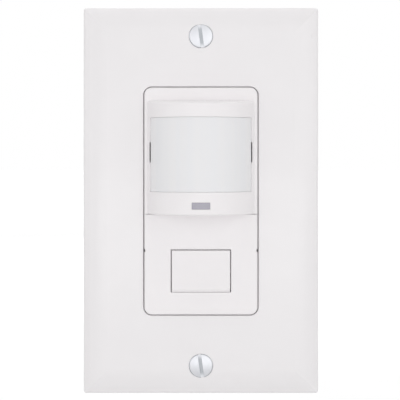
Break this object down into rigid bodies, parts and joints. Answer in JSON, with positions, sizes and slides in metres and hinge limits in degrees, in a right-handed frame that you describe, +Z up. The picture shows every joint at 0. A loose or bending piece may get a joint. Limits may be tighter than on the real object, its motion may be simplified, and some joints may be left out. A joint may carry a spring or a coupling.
{
  "type": "occupancy sensor",
  "caption": "Wall switch occupancy sensor on a steel strap with a curved lens head, push button, control cover with trim dials behind it, and a bevelled one-gang wall plate.",
  "frame": {"origin": "centre of the device on the wall's surface, midway between the box screws", "axes": "+Z up, +Y into the wall, the front faces -Y, +X to the right as seen from the front"},
  "size_m": [0.0698, 0.0498, 0.1142],
  "materials": {
    "plate_white": "smooth gloss, warm white",
    "device_white": "fine satin, warm white",
    "frame_white": "satin moulded",
    "lens_milk": "milky polyethylene sheet with fine upright facets",
    "shutter_grey": "matt grey",
    "light_smoke": "smoky translucent window",
    "led_resin": "clear resin on a white base",
    "plated_screw": "bright plated",
    "zinc_steel": "zinc plated sheet and screws",
    "fibre": "pressed fibre",
    "green_screw": "green dyed plating",
    "rivet_metal": "plain",
    "black_case": "moulded black",
    "dial_orange": "moulded",
    "board_green": "solder mask over glass laminate",
    "can_metal": "drawn can",
    "filter_dark": "coated silicon window",
    "cell_face": "resin face",
    "relay_case": "sealed case",
    "capacitor_box": "boxed film part",
    "varistor_coat": "dipped coat",
    "resistor_coat": "cement coat",
    "housing_grey": "moulded housing",
    "brass": "plated brass"
  },
  "bodies": {
    "housing": {"wallplate": "plate_white", "plate_screws": "plated_screw", "mounting_strap": "zinc_steel", "box_screws": "zinc_steel", "screw_retainers": "fibre", "ground_screw": "green_screw", "frame_rivets": "rivet_metal", "front_frame": "frame_white", "head_cover": "device_white", "lens": "lens_milk", "lens_retainer": "frame_white", "light_pipe": "light_smoke", "status_led": "led_resin", "tact_switch": "black_case", "switch_dome": "rivet_metal", "trimmer_bodies": "black_case", "front_board": "board_green", "board_screws": "zinc_steel", "sensor_can": "can_metal", "sensor_window": "filter_dark", "photocell": "cell_face", "controller_chip": "black_case", "board_header": "black_case", "rear_board": "board_green", "relay": "relay_case", "film_capacitor": "capacitor_box", "smoothing_capacitors": "can_metal", "varistor": "varistor_coat", "fuse_resistor": "resistor_coat", "rectifier_diodes": "black_case", "rear_housing": "housing_grey", "terminal_tabs": "brass", "terminal_clamps": "zinc_steel", "terminal_screws": "brass"},
    "control_cover": {"control_cover": "device_white"},
    "push_button": {"push_button": "device_white"},
    "switch_plunger": {"switch_plunger": "black_case"},
    "time_dial": {"time_dial": "dial_orange"},
    "light_dial": {"light_dial": "dial_orange"},
    "range_dial": {"range_dial": "dial_orange"},
    "left_shutter": {"left_shutter": "shutter_grey"},
    "right_shutter": {"right_shutter": "shutter_grey"}
  },
  "joints": [
    {"name": "cover_lift", "type": "slide", "parent": "housing", "child": "control_cover", "axis": [0, -1, 0], "range_m": [0, 0.025]},
    {"name": "button_press", "type": "slide", "parent": "housing", "child": "push_button", "axis": [0, 1, 0], "range_m": [0, 0.0009], "stiffness_N_per_m": 800, "springref_m": -0.001},
    {"name": "plunger_press", "type": "slide", "parent": "housing", "child": "switch_plunger", "axis": [0, 1, 0], "range_m": [0, 0.0009], "deforming": ["switch_dome"]},
    {"name": "time_dial_turn", "type": "hinge", "parent": "housing", "child": "time_dial", "pos_m": [-0.009, 0, -0.0094], "axis": [0, -1, 0], "range_deg": [-105, 105]},
    {"name": "light_dial_turn", "type": "hinge", "parent": "housing", "child": "light_dial", "pos_m": [0, 0, -0.0094], "axis": [0, -1, 0], "range_deg": [-105, 105]},
    {"name": "range_dial_turn", "type": "hinge", "parent": "housing", "child": "range_dial", "pos_m": [0.009, 0, -0.0094], "axis": [0, -1, 0], "range_deg": [-105, 105]},
    {"name": "left_shutter_swing", "type": "hinge", "parent": "housing", "child": "left_shutter", "pos_m": [0, 0.00022, 0.01365], "axis": [0, 0, 1], "range_deg": [0, 18]},
    {"name": "right_shutter_swing", "type": "hinge", "parent": "housing", "child": "right_shutter", "pos_m": [0, 0.00022, 0.01365], "axis": [0, 0, -1], "range_deg": [0, 18]}
  ],
  "couplings": [
    {"joint": "plunger_press", "follows": "button_press", "ratio": 1}
  ]
}
